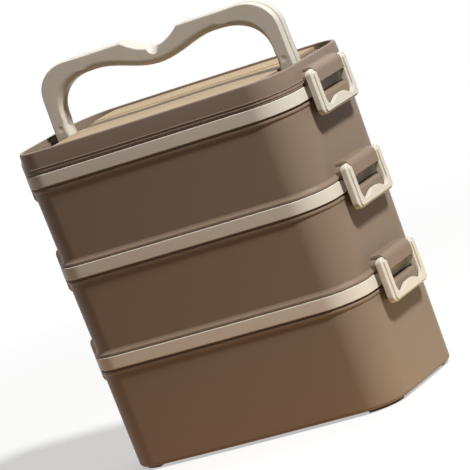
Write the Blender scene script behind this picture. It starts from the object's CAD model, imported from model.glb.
# %% [markdown]
# # A tiered lunch box in taupe and cream plastic
# The box is a stack of food tiers. Each tier is closed by a sealing lid whose rim shows as a pale
# band, and the whole stack is held by clips at its ends and carried by a folding bail.
# Nearly every piece follows one rounded outline, so the lesson starts with that outline and grows
# the walls from it. The box's lengths are in millimetres, and scaled to metres at the end.

import math

import bmesh
import bpy
from mathutils import Matrix, Quaternion, Vector


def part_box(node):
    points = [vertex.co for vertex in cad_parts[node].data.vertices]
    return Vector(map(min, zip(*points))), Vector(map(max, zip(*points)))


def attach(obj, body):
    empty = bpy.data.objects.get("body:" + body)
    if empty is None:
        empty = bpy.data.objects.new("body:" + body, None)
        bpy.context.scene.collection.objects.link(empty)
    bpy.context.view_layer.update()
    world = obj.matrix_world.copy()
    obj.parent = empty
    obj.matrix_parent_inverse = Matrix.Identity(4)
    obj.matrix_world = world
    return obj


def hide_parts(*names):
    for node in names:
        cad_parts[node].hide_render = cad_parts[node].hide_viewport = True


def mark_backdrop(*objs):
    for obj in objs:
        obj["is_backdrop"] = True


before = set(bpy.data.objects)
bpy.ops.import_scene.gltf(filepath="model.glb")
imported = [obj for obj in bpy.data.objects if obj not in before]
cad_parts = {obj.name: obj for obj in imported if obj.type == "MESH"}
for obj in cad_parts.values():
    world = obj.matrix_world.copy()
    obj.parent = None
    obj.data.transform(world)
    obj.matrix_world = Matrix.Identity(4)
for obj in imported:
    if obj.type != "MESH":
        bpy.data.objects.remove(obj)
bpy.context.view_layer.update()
MM = 0.001
print("nodes in the frame:", len(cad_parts))

# %% [markdown]
# ## Heights of the stack
# The frame already knows where each piece is. The top of every pale band and the seam under it are
# read from the sealing lids, so that the dressed pieces can't drift away from the solids.

# %% Read the heights
LEVELS = ("bottom", "middle", "top")
PLUG = 3.0
BAND_TOPS = [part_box("inner_lid_" + level)[1].z / MM for level in LEVELS]
SEAMS = [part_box("inner_lid_" + level)[0].z / MM + PLUG for level in LEVELS]
RIM_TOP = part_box("outer_lid")[1].z / MM
GAP = 0.3
print("seams", [round(seam, 1) for seam in SEAMS], "band tops", [round(top, 1) for top in BAND_TOPS])

# %% [markdown]
# ## The plan outline
# Seen from above the box is a rounded rectangle whose sides bow out a little. A flat grid with its
# four corners bevelled gives the outline, and a smooth push gives the bow. The push depends on how
# far a point is drawn in from the outline, so each vertex carries that inset in a layer.

# %% Outline helpers
HALF_LENGTH = 94.0
HALF_DEPTH = 51.05
CORNER = 21.3
END_BOW = 1.0
LONG_BOW = 2.2
CORNER_SEGMENTS = 12
SIDE_CUTS = 13


def round_corners(bm, corners, radius, segments):
    """Bevels corners of a flat outline to a radius."""
    bmesh.ops.bevel(
        bm, geom=corners, offset=radius, segments=segments, profile=0.5, affect="VERTICES", material=-1
    )


def start_outline(bm, inset, height):
    """Leaves one closed loop of edges, drawn in by the inset, and returns those edges."""
    bmesh.ops.create_grid(bm, x_segments=1, y_segments=1, size=1.0)
    bmesh.ops.scale(bm, verts=bm.verts[:], vec=(HALF_LENGTH - inset, HALF_DEPTH - inset, 1.0))
    round_corners(bm, bm.verts[:], CORNER - inset, CORNER_SEGMENTS)
    sides = [edge for edge in bm.edges if edge.calc_length() > CORNER]
    bmesh.ops.subdivide_edges(bm, edges=sides, cuts=SIDE_CUTS)
    bmesh.ops.delete(bm, geom=bm.faces[:], context="FACES_ONLY")
    bmesh.ops.translate(bm, verts=bm.verts[:], vec=(0.0, 0.0, height))
    return bm.edges[:]


def move_ring(vertices, layer, inset, height):
    """Slides a ring of the outline to another inset and height, along the outline's own normals."""
    for vertex in vertices:
        core_x = max(-HALF_LENGTH + CORNER, min(HALF_LENGTH - CORNER, vertex.co.x))
        core_y = max(-HALF_DEPTH + CORNER, min(HALF_DEPTH - CORNER, vertex.co.y))
        share = (CORNER - inset) / (CORNER - vertex[layer])
        vertex.co.x = core_x + (vertex.co.x - core_x) * share
        vertex.co.y = core_y + (vertex.co.y - core_y) * share
        vertex.co.z = height
        vertex[layer] = inset


def bow_sides(bm, layer):
    """Pushes the long sides and the ends out, most at their middles."""
    for vertex in bm.verts:
        across = vertex.co.x / (HALF_LENGTH - vertex[layer])
        along = vertex.co.y / (HALF_DEPTH - vertex[layer])
        vertex.co.x += END_BOW * (1 - along ** 2) * across
        vertex.co.y += LONG_BOW * (1 - across ** 2) * along


# %% [markdown]
# ## Walls from stations
# A moulded tier is one skin: up the outside, over the rim and down the inside. The outline is
# extruded from station to station, each an inset, a height and the radius of its edge. Extruding
# keeps every face a clean quad, and a bevel on each ring then rounds it as the mould does.

# %% Wall builder
def wall_skin(stations, closed=False):
    """Grows a closed skin through stations of (inset, height, edge radius)."""
    bm = bmesh.new()
    layer = bm.verts.layers.float.new("inset")
    rub = bm.verts.layers.float.new("rub")
    ring = start_outline(bm, stations[0][0], stations[0][1])
    for vertex in bm.verts:
        vertex[layer] = stations[0][0]
    rings = [ring]
    for inset, height, radius in stations[1:]:
        grown = bmesh.ops.extrude_edge_only(bm, edges=ring)["geom"]
        fresh = {item for item in grown if isinstance(item, bmesh.types.BMVert)}
        move_ring(fresh, layer, inset, height)
        ring = [
            item for item in grown
            if isinstance(item, bmesh.types.BMEdge) and set(item.verts) <= fresh
        ]
        rings.append(ring)
    if closed:
        bmesh.ops.bridge_loops(bm, edges=rings[0] + rings[-1])
    else:
        bmesh.ops.edgeloop_fill(bm, edges=rings[0])
        bmesh.ops.edgeloop_fill(bm, edges=rings[-1])
    bow_sides(bm, layer)
    bmesh.ops.recalc_face_normals(bm, faces=bm.faces[:])
    for ring, (inset, height, radius) in zip(rings, stations):
        if radius:
            round_off(bm, ring, radius, rub)
    return bm


def round_off(bm, edges, radius, rub=None):
    """Bevels edges to a radius and marks the new vertices as rubbed."""
    made = bmesh.ops.bevel(
        bm, geom=edges, offset=radius, segments=3 if radius < 1.0 else 6, profile=0.5,
        affect="EDGES", clamp_overlap=False, material=-1,
    )
    if rub is not None:
        for face in made["faces"]:
            for vertex in face.verts:
                vertex[rub] = 1.0


# %% [markdown]
# ## A block, and which edges to round
# A cube between two corners cuts the hollow in each clip. Which edges of a shape are rounded is said
# by a small test, on an edge's middle point or on the angle between its faces.

# %% Block builder
def block(low, high):
    """A cube between two corners."""
    bm = bmesh.new()
    bm.verts.layers.float.new("rub")
    bmesh.ops.create_cube(bm, size=1.0)
    low, high = Vector(low), Vector(high)
    bmesh.ops.scale(bm, verts=bm.verts[:], vec=high - low)
    bmesh.ops.translate(bm, verts=bm.verts[:], vec=(high + low) / 2)
    return bm


def edges_where(bm, test):
    """Edges whose middle point passes a test."""
    return [edge for edge in bm.edges if test((edge.verts[0].co + edge.verts[1].co) / 2)]


def sharp_edges(bm, degrees=40):
    """Edges whose two faces meet at more than an angle."""
    return [edge for edge in bm.edges if edge.calc_face_angle(0.0) > math.radians(degrees)]


def flip_to(bm, side):
    """Mirrors a shape that was made for the right-hand end to the end on that side."""
    if side < 0:
        bmesh.ops.scale(bm, verts=bm.verts[:], vec=(-1.0, 1.0, 1.0))
        bmesh.ops.recalc_face_normals(bm, faces=bm.faces[:])
    return bm


def rotate(bm, degrees, axis):
    """Turns a whole shape about an axis through the origin."""
    matrix = Matrix.Rotation(math.radians(degrees), 3, axis)
    bmesh.ops.rotate(bm, verts=bm.verts[:], cent=(0, 0, 0), matrix=matrix)


# %% [markdown]
# ## Shader sums
# Plastic looks real when its colour, gloss and surface vary together by tiny amounts. Those fields
# are easier to read as sums than as wires, so a small class wraps a socket and turns the usual
# operators into Math nodes. Anything else is a node made by one method.

# %% Socket class and finish class
class Field:
    """A number that varies over the surface, held by a node's output socket."""

    def __init__(self, tree, socket):
        self.tree = tree
        self.socket = socket

    def _sum(self, operation, first, second):
        node = self.tree.nodes.new("ShaderNodeMath")
        node.operation = operation
        for socket, value in zip(node.inputs, (first, second)):
            if isinstance(value, Field):
                self.tree.links.new(value.socket, socket)
            else:
                socket.default_value = value
        return Field(self.tree, node.outputs[0])

    def __add__(self, other):
        return self._sum("ADD", self, other)

    def __sub__(self, other):
        return self._sum("SUBTRACT", self, other)

    def __mul__(self, other):
        return self._sum("MULTIPLY", self, other)


class Finish:
    """A Principled material whose constants sit on their own sockets."""

    def __init__(self, name, **constants):
        self.material = bpy.data.materials.new(name)
        self.material.use_nodes = True
        self.tree = self.material.node_tree
        self.shader = self.tree.nodes["Principled BSDF"]
        self.place = self.node("ShaderNodeTexCoord", output="Object")
        for socket, value in constants.items():
            self.shader.inputs[socket.replace("_", " ")].default_value = value

    def node(self, kind, output=0, settings=None, **inputs):
        made = self.tree.nodes.new(kind)
        for name, value in (settings or {}).items():
            setattr(made, name, value)
        for name, value in inputs.items():
            socket = made.inputs[int(name[1:])] if name[0] == "_" else made.inputs[name.replace("_", " ")]
            if isinstance(value, Field):
                self.tree.links.new(value.socket, socket)
            else:
                socket.default_value = value
        return Field(self.tree, made.outputs[output])

    def noise(self, size_mm, detail=2.0, stretch=(1.0, 1.0, 1.0), roughness=0.5):
        """Noise centred on zero, with features of about that size."""
        scale = 1.0 / (size_mm * MM)
        spot = self.node("ShaderNodeMapping", Vector=self.place, Scale=[scale * share for share in stretch])
        value = self.node("ShaderNodeTexNoise", Vector=spot, Scale=1.0, Detail=detail, Roughness=roughness)
        return value - 0.5

    def mix(self, share, first, second):
        """A colour between two colours."""
        return self.node(
            "ShaderNodeMix", output=2, settings={"data_type": "RGBA"}, _0=share, _6=first, _7=second
        )

    def bump(self, height, distance_mm, strength=1.0, normal=None):
        inputs = {"Height": height, "Distance": distance_mm * MM, "Strength": strength}
        if normal:
            inputs["Normal"] = normal
        return self.node("ShaderNodeBump", **inputs)

    def shader_field(self):
        return Field(self.tree, self.shader.outputs[0])

    def feed(self, **fields):
        for name, field in fields.items():
            self.tree.links.new(field.socket, self.shader.inputs[name.replace("_", " ")])
        return self.material


# %% [markdown]
# ## Moulded plastic
# The tiers and the pale parts are injection-moulded polypropylene with a fine spark-eroded grain.
# Three things make it: a soft drift of colour a few centimetres wide, a grain of about half a
# millimetre in the bump, and edges that are a little lighter because they are rubbed smooth.

# %% Plastic finishes
def shade(red, green, blue, factor=1.0):
    """An 8-bit screen colour as the linear colour that a shader takes."""
    values = []
    for value in (red, green, blue):
        value = value / 255
        linear = value / 12.92 if value <= 0.04045 else ((value + 0.055) / 1.055) ** 2.4
        values.append(min(linear * factor, 1.0))
    return values + [1.0]


def moulded_plastic(name, colour, gloss, grain=1.0, lighten=1.10, shine=0.20):
    finish = Finish(name, IOR=1.49, Specular_IOR_Level=shine)
    drift = finish.noise(34.0, detail=3.0)
    grain_field = finish.noise(0.45, detail=2.0)
    cloud = finish.noise(6.0, detail=4.0)
    rubbed = finish.node("ShaderNodeAttribute", output="Fac", settings={"attribute_name": "rub"})
    body = finish.mix(drift * 1.2 + 0.5, shade(*colour, 0.955), shade(*colour, 1.045))
    worn = finish.mix(rubbed * 0.55, body, shade(*colour, lighten))
    rough = cloud * 0.07 + drift * 0.05 + gloss - rubbed * 0.05
    normal = finish.bump(grain_field, 0.018 * grain, strength=0.55)
    return finish.feed(Base_Color=worn, Roughness=rough, Normal=normal)


TAUPE = moulded_plastic("taupe_moulding", (127, 111, 95), 0.50, shine=0.15)
TAUPE_LID = moulded_plastic("taupe_lid_moulding", (128, 112, 99), 0.46, shine=0.16)
CREAM = moulded_plastic("cream_moulding", (206, 199, 186), 0.42, grain=0.6, lighten=1.06, shine=0.20)
CREAM_GRIP = moulded_plastic(
    "cream_grip_moulding", (200, 193, 180), 0.28, grain=0.35, lighten=1.05, shine=0.32
)
print("plastic finishes:", TAUPE.name, TAUPE_LID.name, CREAM.name, CREAM_GRIP.name)

# %% [markdown]
# ## Tan plate, silicone, rubber and steel
# The plate in the lid is a tan plastic with a faint brushed streak along its length. The seals are
# milky silicone, the feet dark rubber, and the pins drawn steel with fine streaks.

# %% Other finishes
def tan_plate():
    finish = Finish("tan_plate", IOR=1.49, Specular_IOR_Level=0.1)
    streak = finish.noise(0.7, detail=3.0, stretch=(0.02, 1.0, 1.0))
    drift = finish.noise(28.0, detail=2.0)
    tone = finish.mix(drift + streak * 0.9 + 0.5, shade(158, 139, 112), shade(170, 151, 124))
    rough = streak * 0.10 + 0.58
    return finish.feed(Base_Color=tone, Roughness=rough, Normal=finish.bump(streak, 0.02, strength=0.5))


def silicone():
    finish = Finish("seal_silicone", IOR=1.42, Subsurface_Weight=0.15, Subsurface_Scale=0.002)
    bloom = finish.noise(3.0, detail=3.0)
    tone = finish.mix(bloom + 0.5, shade(214, 211, 203), shade(228, 225, 218))
    return finish.feed(Base_Color=tone, Roughness=bloom * 0.1 + 0.55, Normal=finish.bump(bloom, 0.03))


def foot_rubber():
    finish = Finish("foot_rubber", IOR=1.50)
    grain = finish.noise(0.5, detail=4.0)
    tone = finish.mix(grain + 0.5, shade(46, 40, 36), shade(66, 58, 52))
    return finish.feed(Base_Color=tone, Roughness=grain * 0.15 + 0.78, Normal=finish.bump(grain, 0.05))


def pin_steel():
    finish = Finish("drawn_steel", Metallic=1.0)
    streak = finish.noise(0.25, detail=3.0, stretch=(0.05, 0.05, 1.0))
    tone = finish.mix(streak + 0.5, shade(178, 178, 176), shade(204, 204, 202))
    return finish.feed(Base_Color=tone, Roughness=streak * 0.15 + 0.32, Normal=finish.bump(streak, 0.01))


TAN = tan_plate()
SILICONE = silicone()
RUBBER = foot_rubber()
STEEL = pin_steel()
print("other finishes:", TAN.name, SILICONE.name, RUBBER.name, STEEL.name)


# %% [markdown]
# ## From a bmesh to a piece
# Every piece is finished the same way: scaled to metres, shaded smooth with its true creases kept,
# given its finish, and set to ride on the body that carries it.

# %% Piece maker
made_pieces = []


def make_piece(name, bm, body, finish, slot, *replaced):
    """Turns a bmesh in millimetres into a piece that rides on a body."""
    bmesh.ops.scale(bm, verts=bm.verts[:], vec=(MM, MM, MM))
    mesh = bpy.data.meshes.new(name)
    bm.to_mesh(mesh)
    bm.free()
    piece = bpy.data.objects.new(name, mesh)
    bpy.context.scene.collection.objects.link(piece)
    return dress(piece, body, finish, slot, *replaced)


def dress(piece, body, finish, slot, *replaced):
    mesh = piece.data
    mesh.shade_smooth()
    mesh.set_sharp_from_angle(angle=math.radians(32))
    mesh.materials.clear()
    mesh.materials.append(finish)
    weighted = piece.modifiers.new("even_shading", "WEIGHTED_NORMAL")
    weighted.keep_sharp = True
    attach(piece, body)
    if replaced:
        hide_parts(*replaced)
    made_pieces.append(piece)
    return piece


def carve(bm, tool, operation="DIFFERENCE"):
    """Joins, cuts or trims one bmesh with another through an exact Boolean modifier."""
    shapes = []
    for shape in (bm, tool):
        mesh = bpy.data.meshes.new("carving")
        shape.to_mesh(mesh)
        shape.free()
        shapes.append(bpy.data.objects.new("carving", mesh))
        bpy.context.scene.collection.objects.link(shapes[-1])
    modifier = shapes[0].modifiers.new("carve", "BOOLEAN")
    modifier.operation = operation
    modifier.solver = "EXACT"
    modifier.object = shapes[1]
    ready = shapes[0].evaluated_get(bpy.context.evaluated_depsgraph_get())
    result = bmesh.new()
    result.from_mesh(ready.data)
    for shape in shapes:
        bpy.data.objects.remove(shape)
    return result


# %% [markdown]
# ## Tiers
# The bottom tier stands by itself. The two above it have a base that nests in the lid below, with a
# narrow flange and a shoulder that catches the light just over the pale band. All three end in a
# rolled lip, a dark gap, and a neck that the next lid's skirt slides over.

# %% Tier shells
WALL_TOP = 1.4
WALL_BASE = 2.2
WALL = 1.8
NECK_OUT = 1.7
NECK_IN = 3.1
NEST = 5.4
NEST_DEPTH = 5.7
LIP_INSET = 0.5
LIP_HEIGHT = 1.8
LIP_DROP = 1.3
NECK_RISE = 3.2
FLANGE_INSET = 0.7
FLANGE_HEIGHT = 1.4
SHOULDER_TOP = 3.5


def mouth(seam):
    """Stations of the lip and the neck, from the outer wall to the inside."""
    lip_top = seam - LIP_DROP
    lip_bottom = lip_top - LIP_HEIGHT
    neck_top = seam + NECK_RISE
    return [
        (WALL_TOP, lip_bottom - 0.5, 0.3),
        (LIP_INSET, lip_bottom + 0.35, 0.3),
        (LIP_INSET, lip_top, 0.45),
        (NECK_OUT, lip_top, 0.2),
        (NECK_OUT, neck_top, 0.35),
        (NECK_IN, neck_top, 0.35),
    ]


def stacked_tier(seat, seam):
    nest_bottom = seat - NEST_DEPTH
    base = seat + GAP
    return wall_skin([
        (NEST, nest_bottom, 1.4),
        (NEST, base, 0.2),
        (FLANGE_INSET, base, 0.25),
        (FLANGE_INSET, base + FLANGE_HEIGHT, 0.3),
        (1.6, base + 2.24, 0.35),
        (WALL_BASE, base + SHOULDER_TOP, 0.5),
        *mouth(seam),
        (WALL_BASE + WALL, base + SHOULDER_TOP, 1.2),
        (NEST + WALL, base + WALL, 1.2),
        (NEST + WALL, nest_bottom + WALL, 1.4),
    ])


def standing_tier(seam):
    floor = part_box("bottom_tier")[0].z / MM
    return wall_skin([
        (WALL_BASE, floor, 2.4),
        *mouth(seam),
        (WALL_BASE + WALL, floor + WALL, 2.4),
    ])


TIER_BODIES = ("base", "tier_middle", "tier_top")
make_piece("bottom_tier_shell", standing_tier(SEAMS[0]), "base", TAUPE, "taupe_plastic", "bottom_tier")
for index, level in ((1, "middle"), (2, "top")):
    shell = stacked_tier(BAND_TOPS[index - 1], SEAMS[index])
    make_piece(level + "_tier_shell", shell, TIER_BODIES[index], TAUPE, "taupe_plastic", level + "_tier")
for piece in made_pieces:
    print(piece.name, len(piece.data.polygons), "faces")

# %% [markdown]
# ## Sealing lids and seals
# A sealing lid is a shallow tray with a deep skirt, and the skirt is the pale band seen outside. The
# silicone ring sits in its groove, so its section is a closed loop of stations.

# %% Sealing lids
NECK_ROOF = 5.6
SKIRT_WALL = 1.4
TRAY_IN = 4.8
TRAY_FLOOR = 1.6
SEAL_RISE = 3.5
SEAL_HEIGHT = 1.8


def sealing_lid(seam, top):
    groove_top = seam + NECK_ROOF
    floor = seam - PLUG
    return wall_skin([
        (NECK_IN + GAP, floor, 1.4),
        (NECK_IN + GAP, groove_top, 0.0),
        (SKIRT_WALL, groove_top, 0.2),
        (SKIRT_WALL, seam, 0.2),
        (0.0, seam, 0.4),
        (0.0, top, 0.4),
        (TRAY_IN, top, 0.35),
        (TRAY_IN, floor + TRAY_FLOOR, 1.4),
    ])


def seal(seam):
    bottom = seam + SEAL_RISE
    return wall_skin([
        (NECK_OUT, bottom, 0.2),
        (NECK_OUT, bottom + SEAL_HEIGHT, 0.4),
        (NECK_IN, bottom + SEAL_HEIGHT, 0.4),
        (NECK_IN, bottom, 0.2),
    ], closed=True)


for level, seam, top in zip(LEVELS, SEAMS, BAND_TOPS):
    body = "seal_lid_" + level
    make_piece(
        "band_lid_" + level, sealing_lid(seam, top), body, CREAM, "warm_grey_plastic", "inner_lid_" + level
    )
    make_piece("silicone_seal_" + level, seal(seam), body, SILICONE, "seal_silicone", "seal_ring_" + level)
print("sealing lids:", len(LEVELS))

# %% [markdown]
# ## The cover
# The cover's wall has two fine ribs close above the band and a rounded rim. Inside the rim a hollow
# deck carries the plate, with a deep trough left at each end for the handle's feet. The deck is a
# second solid joined on, and then hollowed from below as the moulding is.

# %% Cover shell
RIM = 1.1
RIM_IN = 3.3
DECK_HALF = 72.6
DECK_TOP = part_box("lid_panel")[0].z / MM - GAP
DECK = 1.6
DECK_INSET = 2.2
SEAT = BAND_TOPS[-1]
COVER_NEST = 3.0
COVER_BASE = 0.6
RIB_FACE = 0.2
RIB_HEIGHTS = (1.9, 3.7)


def span(bm, half):
    """Keeps what lies between -half and half along X, and closes the cuts."""
    for side in (-1, 1):
        made = bmesh.ops.bisect_plane(
            bm, geom=bm.verts[:] + bm.edges[:] + bm.faces[:], plane_co=(side * half, 0.0, 0.0),
            plane_no=(side, 0.0, 0.0), clear_outer=True,
        )
        cut = [item for item in made["geom_cut"] if isinstance(item, bmesh.types.BMEdge)]
        bmesh.ops.edgeloop_fill(bm, edges=cut)
    bmesh.ops.recalc_face_normals(bm, faces=bm.faces[:])
    return bm


def cover():
    bottom = SEAT + GAP
    trough = SEAT - COVER_NEST + WALL
    stations = [(NEST, SEAT - COVER_NEST, 1.4), (NEST, bottom, 0.2), (COVER_BASE, bottom, 0.3)]
    for rib in RIB_HEIGHTS:
        stations += [
            (COVER_BASE, SEAT + rib - 0.35, 0.0), (RIB_FACE, SEAT + rib - 0.15, 0.1),
            (RIB_FACE, SEAT + rib + 0.15, 0.1), (COVER_BASE, SEAT + rib + 0.35, 0.0),
        ]
    stations += [
        (RIM, RIM_TOP, 0.9), (RIM_IN, RIM_TOP, 0.5), (RIM_IN, bottom + WALL, 1.2),
        (NEST + WALL, trough, 1.4),
    ]
    shell = wall_skin(stations)

    deck = span(wall_skin([
        (NEST + 0.9, trough - 0.9, 0.0), (NEST + 0.9, bottom + 0.9, 0.0),
        (DECK_INSET, bottom + 0.9, 0.0), (DECK_INSET, DECK_TOP, 0.0),
    ]), DECK_HALF)
    ends = edges_where(
        deck, lambda middle: abs(abs(middle.x) - DECK_HALF) < 0.01 and middle.z > DECK_TOP - 0.01
    )
    round_off(deck, ends, 0.4)
    hollow = span(wall_skin([
        (NEST + WALL + GAP, SEAT - 6.0, 0.0), (NEST + WALL + GAP, bottom + WALL, 0.0),
        (RIM_IN + GAP, bottom + WALL, 0.0), (RIM_IN + GAP, DECK_TOP - DECK, 0.6),
    ]), DECK_HALF - DECK)
    return carve(carve(shell, deck, "UNION"), hollow)


make_piece("cover_shell", cover(), "cover", TAUPE_LID, "taupe_plastic", "outer_lid")
print("cover:", len(made_pieces[-1].data.polygons), "faces")

# %% [markdown]
# ## The tan plate
# The plate lies on the deck just under the rim. A low step runs along its whole length, so the part
# behind the step stands a little higher and takes more light.

# %% Plate
STEP_Y = 21.0
STEP_DROP = 0.7
STEP_RUN = 0.35
PLATE_END_GAP = 0.8


def plate():
    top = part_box("lid_panel")[1].z / MM
    slab = wall_skin([(RIM_IN + GAP, DECK_TOP + GAP, 0.0), (RIM_IN + GAP, top, 0.0)])
    bm = span(slab, DECK_HALF - PLATE_END_GAP)
    for line in (STEP_Y, STEP_Y - STEP_RUN):
        bmesh.ops.bisect_plane(
            bm, geom=bm.verts[:] + bm.edges[:] + bm.faces[:], plane_co=(0.0, line, 0.0),
            plane_no=(0.0, 1.0, 0.0),
        )
    front = [vertex for vertex in bm.verts if vertex.co.z > top - 0.01 and vertex.co.y < STEP_Y - 0.1]
    bmesh.ops.translate(bm, verts=front, vec=(0.0, 0.0, -STEP_DROP))
    rub = bm.verts.layers.float["rub"]
    crisp = [edge for edge in sharp_edges(bm) if max(vertex.co.z for vertex in edge.verts) > top - 0.8]
    round_off(bm, crisp, 0.18, rub)
    return bm


make_piece("inlaid_plate", plate(), "cover", TAN, "tan_plastic", "lid_panel")
print("plate step at", STEP_Y, "mm")

# %% [markdown]
# ## The bail handle
# The handle is one bar bent round three sides, and its section changes all the way: a finger dip in
# the middle, waves under it, broad soft shoulders and flared feet. One ring of its section is
# extruded from station to station. Each point of the section is placed from the bar's outer or inner
# edge, so a station only has to say where those two edges are.

# %% Handle section
PIVOT = (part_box("handle_pivot_left")[0].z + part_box("handle_pivot_left")[1].z) / 2 / MM
HALF_THICK = 5.5
OUTER_ROUND = 1.0
INNER_ROUND = 2.7
ROLL = 4.6
GROOVE = 3.0
ARM_GROOVE = 2.4


def section_outline():
    """The front half of the bar's section, from the middle of its outer face to the inner one.

    A point is (edge, inwards, through): the edge it hangs on, 1 for the outer and 0 for the
    inner, how far it lies from that edge, and how far it lies in front of the bar's middle.
    """
    points = [(1, GROOVE, 0.5), (1, 0.35, 0.65), (1, 0.0, 0.95)]
    for step in range(5):
        turn = math.radians(90 * step / 4)
        points.append(
            (1, OUTER_ROUND * (1 - math.cos(turn)), HALF_THICK - OUTER_ROUND * (1 - math.sin(turn)))
        )
    for step in range(9):
        turn = math.radians(90 * step / 8)
        points.append((0, ROLL * (1 - math.sin(turn)), HALF_THICK - INNER_ROUND * (1 - math.cos(turn))))
    return points + [(0, 0.0, 2.5), (0, 0.35, 2.2), (0, ARM_GROOVE, 1.9)]


front_half = section_outline()
print("section points:", 2 * len(front_half))

# %% [markdown]
# The stations follow the bar from the middle of the grip to the right foot. The dip is a parabola
# with crisp ends, the wave a cosine, and the shoulders are quarter ovals, the inner one a little
# squarer. The foot ends in a half round about the pivot, so that it can turn in its trough.

# %% Handle path
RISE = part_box("carry_handle")[1].z / MM - PIVOT
OUT_X = 83.3
FOOT_X = 84.3
ARM_IN = 74.4
FOOT_IN = 73.2
DIP = 8.0
DIP_HALF = 20.0
WAVE = 8.0
WAVE_HALF = 42.0
GRIP_DEPTH = 10.3
INNER_START = 43.9
INNER_REACH = 30.5
INNER_LOW = 14.1
INNER_FALL = 24.0
SQUARENESS = 0.84
OUTER_REACH = 21.5
OUTER_FALL = 18.0
FLARE_TOP = 12.0


def ease(share):
    return 0.5 - 0.5 * math.cos(math.pi * max(0.0, min(1.0, share)))


def grip_station(x):
    dip = DIP * max(1 - (x / DIP_HALF) ** 2, 0.0)
    wave = WAVE * ease(1 - x / WAVE_HALF)
    return (x, RISE - dip), (x, RISE - GRIP_DEPTH - wave), 1.0 if x > 20.4 else 0.0, 0.0


def shoulder_station(share):
    turn = math.radians(90 * share)
    inner = (
        INNER_START + INNER_REACH * math.sin(turn) ** SQUARENESS,
        INNER_LOW + INNER_FALL * math.cos(turn) ** SQUARENESS,
    )
    late = math.radians(90 * max(share - 0.15, 0.0) / 0.85)
    outer = (
        OUT_X - OUTER_REACH + OUTER_REACH * math.sin(late),
        RISE - OUTER_FALL + OUTER_FALL * math.cos(late),
    )
    return outer, inner, 1.0, ease(2 * share - 1)


def foot_station(height):
    flare = (ARM_IN - FOOT_IN) * ease(1 - height / FLARE_TOP)
    outer = FOOT_X - height / 30.4
    groove_end = math.sqrt(max(1 - ((FLARE_TOP - height) / 1.6) ** 2, 0.0))
    return (outer, height), (ARM_IN - flare, height), 1.0 if height > 2 else 0.0, groove_end


def handle_stations():
    stations = [grip_station(DIP_HALF * step / 16) + (1.0,) for step in range(17)]
    stations += [grip_station(x) + (1.0,) for x in (20.5, 21.5, 24, 27, 30, 33, 36, 38, 41, INNER_START)]
    stations += [shoulder_station(step / 24) + (1.0,) for step in range(1, 25)]
    stations += [foot_station(height) + (1.0,) for height in (12, 11.5, 11, 10.6, 10.4, 8, 6, 4, 2, 1, 0)]
    for degrees in (12, 24, 36, 48, 60, 70, 78, 84):
        turn = math.radians(degrees)
        height = -HALF_THICK * math.sin(turn)
        stations.append(((FOOT_X, height), (FOOT_IN, height), 0.0, 0.0, math.cos(turn)))
    return stations


print("handle stations:", len(handle_stations()))

# %% Handle piece
def handle_ring(side, outer, inner, outer_groove, inner_groove, thin):
    """Points of one ring of the section, for a station of the path."""
    length = math.hypot(outer[0] - inner[0], outer[1] - inner[1])
    soft = 0.5 + 0.5 * ease((inner[1] - 14.0) / 20.0)
    front = []
    for edge, inwards, through in front_half:
        if through < (0.9 if edge else 2.6):
            inwards *= outer_groove if edge else inner_groove
        elif not edge:
            inwards *= soft
        share = 1 - inwards / length if edge else inwards / length
        front.append((share, -through * thin))
    back = [(share, -depth) for share, depth in front[::-1]]
    ring = []
    for share, depth in front + back:
        x = inner[0] + (outer[0] - inner[0]) * share
        z = inner[1] + (outer[1] - inner[1]) * share
        ring.append(Vector((side * x, depth, PIVOT + z)))
    return ring


def bail():
    """Extrudes the section along the path, and mirrors the half about the middle of the grip."""
    bm = bmesh.new()
    bm.verts.layers.float.new("rub")
    stations = handle_stations()
    first = [bm.verts.new(point) for point in handle_ring(1, *stations[0])]
    ring = [bm.edges.new((first[index - 1], first[index])) for index in range(len(first))]
    row = first
    for station in stations[1:]:
        grown = bmesh.ops.extrude_edge_only(bm, edges=ring)["geom"]
        fresh = [item for item in grown if isinstance(item, bmesh.types.BMVert)]
        nearest = {}
        for vertex in fresh:
            partner = min(range(len(row)), key=lambda index: (row[index].co - vertex.co).length_squared)
            nearest[partner] = vertex
        row = [nearest[index] for index in range(len(row))]
        for vertex, point in zip(row, handle_ring(1, *station)):
            vertex.co = point
        ring = [
            item for item in grown
            if isinstance(item, bmesh.types.BMEdge) and item.verts[0] in fresh and item.verts[1] in fresh
        ]
    bmesh.ops.edgeloop_fill(bm, edges=ring)
    bmesh.ops.mirror(bm, geom=bm.verts[:] + bm.edges[:] + bm.faces[:], axis="X", merge_dist=0.0001)
    bmesh.ops.remove_doubles(bm, verts=bm.verts[:], dist=0.0001)
    bmesh.ops.recalc_face_normals(bm, faces=bm.faces[:])
    return bm


SCOOP_RADIUS = 5.0
SCOOP_DROP = 4.3
DIMPLE_SPHERE = 9.0
DIMPLE_PLACE = (79.0, 8.74, 10.4)


def thumb_scoop():
    """A leaning cylinder that cuts a half moon into the front edge of the dip."""
    bm = bmesh.new()
    bmesh.ops.create_cone(
        bm, cap_ends=True, segments=64, radius1=SCOOP_RADIUS, radius2=SCOOP_RADIUS, depth=24.0
    )
    bmesh.ops.translate(bm, verts=bm.verts[:], vec=(0.0, -SCOOP_RADIUS, 0.0))
    rotate(bm, -45, "X")
    bmesh.ops.translate(bm, verts=bm.verts[:], vec=(0.0, -HALF_THICK, PIVOT + RISE - DIP - SCOOP_DROP))
    return bm


def dimple(side):
    """A sphere that just bites into the front of a foot."""
    out, before, above = DIMPLE_PLACE
    bm = bmesh.new()
    bmesh.ops.create_uvsphere(bm, u_segments=48, v_segments=128, radius=DIMPLE_SPHERE)
    rotate(bm, 90, "X")
    bmesh.ops.translate(bm, verts=bm.verts[:], vec=(side * out, -HALF_THICK - before, PIVOT + above))
    return bm


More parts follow.
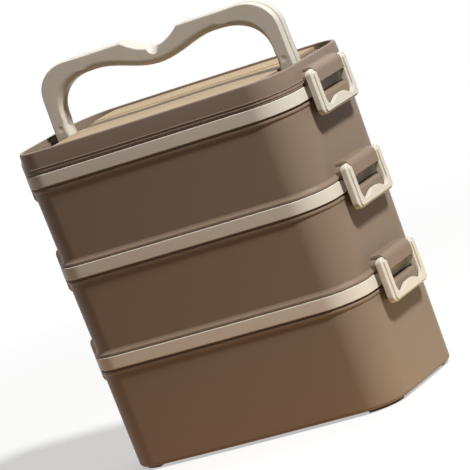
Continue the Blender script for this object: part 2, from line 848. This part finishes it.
handle = carve(carve(carve(bail(), thumb_scoop()), dimple(-1)), dimple(1))
make_piece("bail_handle", handle, "handle", CREAM_GRIP, "warm_grey_plastic", "carry_handle")
print("handle:", len(made_pieces[-1].data.polygons), "faces")

# %% [markdown]
# ## End clips
# A clip is a U of two arms and a bar. It swings on a pin through a blister, the hood, on the piece
# above the seam, and its bar closes over a lug on the tier below. The hood is a profile pushed
# across the end, with a round brow, a soft run-out up the wall and a lip in front of the band. A
# wider and shallower one makes its wings. The lug is rounded above and chamfered below.

# %% Hoods and lugs
CLIP_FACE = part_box("clip_lever_top_right")[1].x / MM
CLIP_HALF = 24.4
CLIP_INNER = 17.7
HOOD_HALF = CLIP_INNER - GAP
HOOD_BACK = 95.6
LIP = 1.0
HOOD_CORNER = 4.5
HOOD_ROOT = 90.5
HOOD_TOP = 9.4
WINGS_TOP = 7.4
BROW = 4.7
RUN_OUT = 1.9
WING = 3.2
HOOD_SHORTFALL = 0.9
WING_SHORTFALL = 5.6
COVER_WALL = 92.9
TIER_WALL = 91.7
LUG_ROOT = 92.5
LUG_SHORTFALL = 2.9
LUG_DROP = 0.4
LUG_HEIGHT = 8.6


def push_across(bm, step):
    """Extrudes a flat face by a step and closes the solid."""
    grown = bmesh.ops.extrude_face_region(bm, geom=bm.faces[:])["geom"]
    fresh = [item for item in grown if isinstance(item, bmesh.types.BMVert)]
    bmesh.ops.translate(bm, verts=fresh, vec=step)
    bmesh.ops.recalc_face_normals(bm, faces=bm.faces[:])
    return bm


def drawn_block(places, half, rounds):
    """A profile of (x, z) places, some of them rounded, pushed across from -half to half in Y."""
    bm = bmesh.new()
    bm.verts.layers.float.new("rub")
    corners = [bm.verts.new((x, -half, z)) for x, z in places]
    bm.faces.new(corners)
    for index, radius, segments in rounds:
        round_corners(bm, [corners[index]], radius, segments)
    return push_across(bm, (0.0, 2 * half, 0.0))


def thicken(bm, back, front):
    """Pushes the flat face from one place along X to another."""
    bmesh.ops.translate(bm, verts=bm.verts[:], vec=(back, 0.0, 0.0))
    return push_across(bm, (front - back, 0.0, 0.0))


def front_mask(half, bottom, top, radius):
    """A slab with round upper corners, as seen from the end of the box."""
    bm = bmesh.new()
    bm.verts.layers.float.new("rub")
    places = [(-half - 1.0, bottom), (half + 1.0, bottom), (half + 0.01, top), (-half - 0.01, top)]
    corners = [bm.verts.new((0.0, y, z)) for y, z in places]
    bm.faces.new(corners)
    round_corners(bm, corners[2:], radius, 10)
    return thicken(bm, 88.0, CLIP_FACE + 1.0)


def hood(side, wall, band_top, half, face, run_out):
    """A blister with a brow and a lip, and a run-out up the wall unless run_out is zero."""
    bottom = band_top + GAP
    top = band_top + (HOOD_TOP if run_out else WINGS_TOP)
    brow = min(BROW, face - wall - 2.0)
    places = [
        (HOOD_ROOT, bottom), (HOOD_BACK, bottom), (HOOD_BACK, bottom - LIP), (face, bottom - LIP),
        (face, top), (wall, top), (wall, top + run_out + 0.4), (HOOD_ROOT, top + run_out + 0.4),
    ]
    rounds = [(4, brow, 10)]
    if run_out:
        rounds.append((5, run_out, 8))
    bm = drawn_block(places, half, rounds)
    rub = bm.verts.layers.float["rub"]
    crisp = [edge for edge in sharp_edges(bm, 60) if min(v.co.x for v in edge.verts) > wall + 1.1]
    round_off(bm, crisp, 0.35, rub)
    return flip_to(carve(bm, front_mask(half, bottom - 2.0, top + run_out, HOOD_CORNER), "INTERSECT"), side)


def lug(side, seam):
    """A catch with a round upper edge and a chamfered lower one."""
    face = CLIP_FACE - LUG_SHORTFALL
    top = seam - LUG_DROP
    bottom = top - LUG_HEIGHT
    places = [(LUG_ROOT, bottom), (face, bottom), (face, top), (LUG_ROOT, top)]
    bm = drawn_block(places, HOOD_HALF, [(1, 1.0, 1), (2, 2.0, 8)])
    rub = bm.verts.layers.float["rub"]
    crisp = [edge for edge in sharp_edges(bm, 60) if min(v.co.x for v in edge.verts) > 93.0]
    round_off(bm, crisp, 0.3, rub)
    return flip_to(bm, side)


SIDES = (("left", -1), ("right", 1))
CARRIERS = {"bottom": "tier_middle", "middle": "tier_top", "top": "cover"}
for index, level in enumerate(LEVELS):
    for end, side in SIDES:
        upper = CARRIERS[level]
        tone = TAUPE_LID if upper == "cover" else TAUPE
        wall = COVER_WALL if upper == "cover" else TIER_WALL
        seat = BAND_TOPS[index]
        blister = hood(side, wall, seat, HOOD_HALF, CLIP_FACE - HOOD_SHORTFALL, RUN_OUT)
        wings = hood(side, wall, seat, HOOD_HALF + WING, CLIP_FACE - WING_SHORTFALL, 0.0)
        make_piece(f"hood_{level}_{end}", blister, upper, tone, "taupe_plastic")
        make_piece(f"hood_wings_{level}_{end}", wings, upper, tone, "taupe_plastic")
        make_piece(f"lug_{level}_{end}", lug(side, SEAMS[index]), TIER_BODIES[index], TAUPE, "taupe_plastic")
print("hoods and lugs:", 3 * len(LEVELS) * len(SIDES))

# %% [markdown]
# ## Clip levers
# The lever starts as a flat U of a few vertices. The bar's upper edge is subdivided and pushed into
# a wave for the thumb, the corners are bevelled, and the face is pushed into a plate. A second,
# narrower U stands about a millimetre in front of it and leaves a stepped border. A block then
# thins the bar from behind, and a profile rounds the tops of the arms.

# %% Levers
VALLEY = 14.2
VALLEY_DROP = 3.1
VALLEY_RISE = 5.0
BORDER_DROP = 1.1
LEVER_ABOVE = 8.3
LEVER_HEIGHT = 27.4
LEVER_THICK = 4.9
CREST_RISE = 7.3


def wave_height(y, inner):
    """Height of the bar's upper edge over its crest: a valley by each arm, swept up to meet it."""
    reach = abs(y)
    if reach < VALLEY:
        return -VALLEY_DROP * ease((reach - 3.0) / (VALLEY - 3.0))
    turn = min((reach - VALLEY) / (inner - VALLEY), 1.0)
    return -VALLEY_DROP + VALLEY_RISE * (1 - math.sqrt(1 - turn ** 2))


def u_face(half, inner, top, bottom, crest_height, corner, tip):
    """A flat U in the YZ plane at X zero, with a waved bar."""
    bm = bmesh.new()
    bm.verts.layers.float.new("rub")
    bar = crest_height + VALLEY_RISE - VALLEY_DROP
    places = [
        (-half, bottom), (half, bottom), (half, top), (inner, top),
        (inner, bar), (-inner, bar), (-inner, top), (-half, top),
    ]
    corners = [bm.verts.new((0.0, y, z)) for y, z in places]
    bm.faces.new(corners)
    crest = [edge for edge in bm.edges if set(edge.verts) == {corners[4], corners[5]}]
    round_corners(bm, corners[0:2], corner, 8)
    round_corners(bm, [corners[2], corners[3], corners[6], corners[7]], tip, 8)
    bmesh.ops.subdivide_edges(bm, edges=crest, cuts=63)
    for vertex in bm.verts:
        if abs(vertex.co.z - bar) < 0.01 and abs(vertex.co.y) < inner + 0.01:
            vertex.co.y = inner * math.sin(math.radians(90 * vertex.co.y / inner))
            vertex.co.z = crest_height + wave_height(vertex.co.y, inner)
    return bm


def rims(bm, place):
    """Sharp edges that lie wholly at one place along X."""
    return [edge for edge in sharp_edges(bm, 60) if min(v.co.x for v in edge.verts) > place - 0.01]


def lever(side, band_top):
    top = band_top + LEVER_ABOVE
    bottom = top - LEVER_HEIGHT
    crest = bottom + CREST_RISE
    back = CLIP_FACE - LEVER_THICK
    step = CLIP_FACE - BORDER_DROP
    border = thicken(u_face(CLIP_HALF, CLIP_INNER, top, bottom, crest - 0.3, 4.2, 3.3), back, step)
    round_off(border, rims(border, step), 1.0, border.verts.layers.float["rub"])
    raised = u_face(CLIP_HALF - 2.2, CLIP_INNER + 0.9, top - 2.0, bottom + 1.3, crest, 2.0, 1.7)
    raised = thicken(raised, step - 1.0, CLIP_FACE)
    round_off(raised, rims(raised, CLIP_FACE), 0.3, raised.verts.layers.float["rub"])
    pocket = block((back - 5.0, -CLIP_INNER, bottom - 5.0), (CLIP_FACE - 2.6, CLIP_INNER, top + 5.0))
    front = CLIP_FACE + 0.02
    places = [(back - 0.02, bottom - 1.0), (front, bottom - 1.0), (front, top), (back - 0.02, top)]
    vault = drawn_block(places, CLIP_HALF + 1.0, [(2, 2.4, 10), (3, 2.4, 10)])
    joined = carve(carve(border, raised, "UNION"), pocket)
    return flip_to(carve(joined, vault, "INTERSECT"), side)


for index, level in enumerate(LEVELS):
    for end, side in SIDES:
        body = f"clip_{level}_{end}"
        shape = lever(side, BAND_TOPS[index])
        name = f"lever_{level}_{end}"
        make_piece(name, shape, body, CREAM, "warm_grey_plastic", "clip_" + name)
print("lever faces:", len(made_pieces[-1].data.polygons))

# %% [markdown]
# ## Pins, pivots and feet
# The clips' pins hardly show, so the frame's own rods keep their places and take the steel. The
# handle's pivots end in a low round-edged head, made from a cylinder. Each foot is a strip
# spun round the corner of the base.

# %% Small parts
for level in LEVELS:
    for end, side in SIDES:
        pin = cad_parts["clip_pin_" + level + "_" + end]
        pin.data.materials.clear()
        pin.data.materials.append(STEEL)


PIN_RADIUS = 2.0
HEAD = 1.0
HEAD_SPREAD = 1.65


def pivot_pin(side):
    low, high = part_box("handle_pivot_right")
    start, head, end = low.x / MM, high.x / MM - HEAD, high.x / MM
    bm = bmesh.new()
    rub = bm.verts.layers.float.new("rub")
    bmesh.ops.create_cone(
        bm, cap_ends=True, segments=40, radius1=PIN_RADIUS, radius2=PIN_RADIUS, depth=head - start
    )
    bmesh.ops.translate(bm, verts=bm.verts[:], vec=(0.0, 0.0, (head + start) / 2))
    cap = [face for face in bm.faces if face.normal.z > 0.9]
    grown = bmesh.ops.extrude_face_region(bm, geom=cap)["geom"]
    rim = [item for item in grown if isinstance(item, bmesh.types.BMVert)]
    bmesh.ops.scale(bm, verts=rim, vec=(HEAD_SPREAD, HEAD_SPREAD, 1.0))
    crown = [
        face for face in bm.faces
        if face.normal.z > 0.9 and face.calc_center_median().z > head - 0.01
    ]
    lifted = bmesh.ops.extrude_face_region(bm, geom=crown)["geom"]
    fresh = [item for item in lifted if isinstance(item, bmesh.types.BMVert)]
    bmesh.ops.translate(bm, verts=fresh, vec=(0.0, 0.0, HEAD))
    edge_ring = edges_where(bm, lambda middle: middle.z > end - 0.01)
    round_off(bm, edge_ring, 0.5, rub)
    rotate(bm, 90, "Y")
    bmesh.ops.translate(bm, verts=bm.verts[:], vec=(0.0, 0.0, PIVOT))
    return flip_to(bm, side)


for end, side in SIDES:
    make_piece("pivot_pin_" + end, pivot_pin(side), "cover", STEEL, "pin_steel", "handle_pivot_" + end)


FOOT_INNER = 11.1
FOOT_OUTER = 16.1
FOOT_HEIGHT = 2.0
FEET = (
    ("front_left", -1, -1, 180), ("front_right", 1, -1, 270),
    ("back_right", 1, 1, 0), ("back_left", -1, 1, 90),
)


def foot(side_x, side_y, start):
    """A rounded strip spun through a right angle about the corner of the base."""
    centre = Vector((side_x * (HALF_LENGTH - CORNER), side_y * (HALF_DEPTH - CORNER), 0.0))
    bm = bmesh.new()
    bm.verts.layers.float.new("rub")
    places = [
        (FOOT_INNER, 0.0), (FOOT_OUTER, 0.0), (FOOT_OUTER, FOOT_HEIGHT), (FOOT_INNER, FOOT_HEIGHT)
    ]
    corners = [bm.verts.new((x, 0.0, z)) for x, z in places]
    bm.faces.new(corners)
    round_corners(bm, corners[:2], 0.6, 3)
    rotate(bm, start, "Z")
    bmesh.ops.spin(
        bm, geom=bm.verts[:] + bm.edges[:] + bm.faces[:], cent=(0, 0, 0), axis=(0, 0, 1),
        angle=math.radians(90), steps=18,
    )
    bmesh.ops.recalc_face_normals(bm, faces=bm.faces[:])
    bmesh.ops.translate(bm, verts=bm.verts[:], vec=centre)
    return bm


for name, side_x, side_y, start in FEET:
    shape = foot(side_x, side_y, start)
    make_piece("foot_" + name, shape, "base", RUBBER, "foot_rubber", "base_foot_" + name)
print("pieces made:", len(made_pieces))

# %% [markdown]
# ## Stage, light and camera
# The box stands on a plain pale floor. The key lamp, high on the right and a little to the front,
# gives the bright ends and the darker front. A broad lamp overhead, a weak warm one low at the left
# front and a very weak sky fill the shade. The floor looks pale to the camera but throws back less
# and warmer light than it shows, most of it beside the right-hand end.

# %% Stage
def seen_rays(tree):
    """One for rays from the camera, a gloss or a clear surface, and zero for light on the box."""
    path = tree.nodes.new("ShaderNodeLightPath")
    camera_ray = Field(tree, path.outputs["Is Camera Ray"])
    glossy_ray = Field(tree, path.outputs["Is Glossy Ray"])
    return camera_ray + glossy_ray + Field(tree, path.outputs["Is Transmission Ray"])


def pale_floor():
    bm = bmesh.new()
    bmesh.ops.create_grid(bm, x_segments=1, y_segments=1, size=6.0)
    mesh = bpy.data.meshes.new("floor")
    bm.to_mesh(mesh)
    bm.free()
    floor = bpy.data.objects.new("floor", mesh)
    bpy.context.scene.collection.objects.link(floor)
    finish = Finish("pale_floor", Roughness=1.0, Specular_IOR_Level=0.0)
    seen = seen_rays(finish.tree)
    radius = finish.node(
        "ShaderNodeVectorMath", output="Value", settings={"operation": "LENGTH"}, Vector=finish.place
    )
    away = finish.node("ShaderNodeMapRange", Value=radius, From_Min=0.12, From_Max=0.34)
    bounce = finish.mix(away, (0.50, 0.25, 0.09, 1.0), (0.03, 0.025, 0.02, 1.0))
    beside = finish.node("ShaderNodeMapping", Vector=finish.place, Location=(-0.17, 0.0, 0.0))
    beside = finish.node(
        "ShaderNodeVectorMath", output="Value", settings={"operation": "LENGTH"}, Vector=beside
    )
    patch = finish.node("ShaderNodeMapRange", Value=beside, From_Min=0.06, From_Max=0.13)
    bounce = finish.mix(patch, (0.95, 0.72, 0.36, 1.0), bounce)
    material = finish.feed(Base_Color=finish.mix(seen, bounce, (0.78, 0.78, 0.78, 1.0)))
    far = finish.node("ShaderNodeMapRange", Value=radius, From_Min=0.30, From_Max=0.75, To_Min=0.5)
    white = finish.node("ShaderNodeEmission", Color=(1.0, 1.0, 1.0, 1.0), Strength=1.0)
    blend = finish.node("ShaderNodeMixShader", _0=far * seen, _1=finish.shader_field(), _2=white)
    finish.tree.links.new(blend.socket, finish.tree.nodes["Material Output"].inputs["Surface"])
    floor.data.materials.append(material)
    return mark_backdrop(floor)


SKY = 0.012
pale_floor()
world = bpy.data.worlds.new("studio")
bpy.context.scene.world = world
world.use_nodes = True
tree = world.node_tree
backdrop = tree.nodes["Background"]
strength = seen_rays(tree) * (1.0 - SKY) + SKY
backdrop.inputs["Color"].default_value = (1.0, 1.0, 1.0, 1.0)
tree.links.new(strength.socket, backdrop.inputs["Strength"])


def lamp(name, direction, distance, size, power, colour=(1.0, 1.0, 1.0)):
    """A round area lamp that faces the middle of the box."""
    data = bpy.data.lights.new(name, "AREA")
    data.shape = "DISK"
    data.size = size
    data.energy = power
    data.color = colour
    light = bpy.data.objects.new(name, data)
    bpy.context.scene.collection.objects.link(light)
    middle = Vector((0.0, 0.0, 0.12))
    light.location = middle + Vector(direction).normalized() * distance
    light.rotation_mode = "QUATERNION"
    light.rotation_quaternion = (middle - light.location).to_track_quat("-Z", "Y")
    return light


lamp("key", (0.63, -0.18, 0.75), 2.5, 0.34, 93.0, (1.0, 1.0, 1.0))
lamp("overhead", (-0.12, 0.25, 1.0), 2.5, 1.4, 20.0, (1.0, 0.97, 0.92))
lamp("front_fill", (-0.62, -0.78, 0.12), 2.5, 1.0, 6.5, (1.0, 0.75, 0.57))

# %% [markdown]
# The photograph was taken with a long lens, from the front right and a little above, with the box
# leaning to the left in the frame. The lean is a roll of the camera, because the box itself stands.

# %% Camera
EYE = Vector((1.0723, -1.8427, 0.4020))
AIM = Vector((0.00336, 0.00195, 0.11346))
FOCAL_PIXELS = 3651.7
PICTURE_PIXELS = 470
CAMERA_ROLL = -20.71
camera = bpy.data.objects.new("camera", bpy.data.cameras.new("camera"))
bpy.context.scene.collection.objects.link(camera)
camera.data.lens = FOCAL_PIXELS / PICTURE_PIXELS * camera.data.sensor_width
camera.data.clip_end = 50.0
camera.location = EYE
camera.rotation_mode = "QUATERNION"
lean = Quaternion((0, 0, 1), math.radians(CAMERA_ROLL))
camera.rotation_quaternion = (AIM - EYE).to_track_quat("-Z", "Y") @ lean
bpy.context.scene.camera = camera
bpy.context.scene.view_settings.view_transform = "Standard"
print("lens", round(camera.data.lens, 1), "mm")
